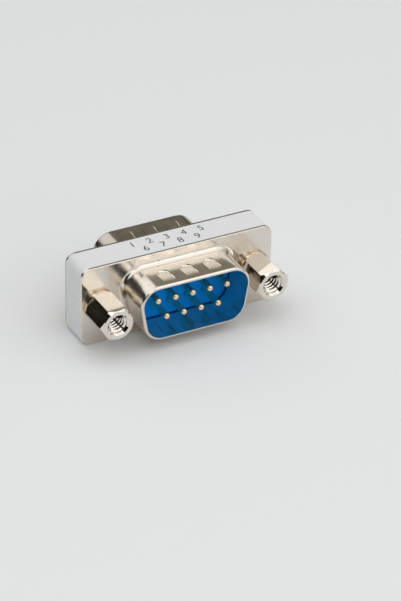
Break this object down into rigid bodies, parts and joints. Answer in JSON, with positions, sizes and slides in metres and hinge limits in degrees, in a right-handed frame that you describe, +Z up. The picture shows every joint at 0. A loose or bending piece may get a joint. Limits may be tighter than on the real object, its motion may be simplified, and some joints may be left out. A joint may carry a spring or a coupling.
{
  "type": "d-sub plug-to-plug adapter",
  "caption": "Slim D-sub adapter: a white frame between nickel-plated plug faces, with cranked gold contacts in blue insulators and captive hexagon jack screws.",
  "frame": {"origin": "middle of the long lower edge of the frame, on the plane the part stands on", "axes": "+X along the flange, to the right seen from the front; the front plug faces -Y; +Z up"},
  "size_m": [0.0308, 0.0176, 0.0126],
  "materials": {
    "nickel_plated_sheet": "satin-bright nickel plating on drawn sheet",
    "nickel_plated_bar": "bright nickel plating on turned bar",
    "washer_steel": "bright plated",
    "gold_plated_brass": "bright gold plating",
    "blue_plastic": "satin moulding",
    "white_plastic": "fine matt moulding"
  },
  "bodies": {
    "housing": {"contact_pin_1": "gold_plated_brass", "contact_pin_2": "gold_plated_brass", "contact_pin_3": "gold_plated_brass", "contact_pin_4": "gold_plated_brass", "contact_pin_5": "gold_plated_brass", "contact_pin_6": "gold_plated_brass", "contact_pin_7": "gold_plated_brass", "contact_pin_8": "gold_plated_brass", "contact_pin_9": "gold_plated_brass", "front_insulator": "blue_plastic", "front_shell": "nickel_plated_sheet", "front_washer_left": "washer_steel", "front_washer_right": "washer_steel", "jack_nut_left": "nickel_plated_bar", "jack_nut_right": "nickel_plated_bar", "lower_cover": "white_plastic", "rear_insulator": "blue_plastic", "rear_shell": "nickel_plated_sheet", "upper_cover": "white_plastic"},
    "jack_left": {"jack_screw_left": "nickel_plated_bar"},
    "jack_right": {"jack_screw_right": "nickel_plated_bar"}
  },
  "joints": [
    {"name": "jack_left_turn", "type": "hinge", "parent": "housing", "child": "jack_left", "pos_m": [-0.01249, 0, 0.00628], "axis": [0, -1, 0], "continuous": true},
    {"name": "jack_right_turn", "type": "hinge", "parent": "housing", "child": "jack_right", "pos_m": [0.01249, 0, 0.00628], "axis": [0, -1, 0], "continuous": true}
  ]
}
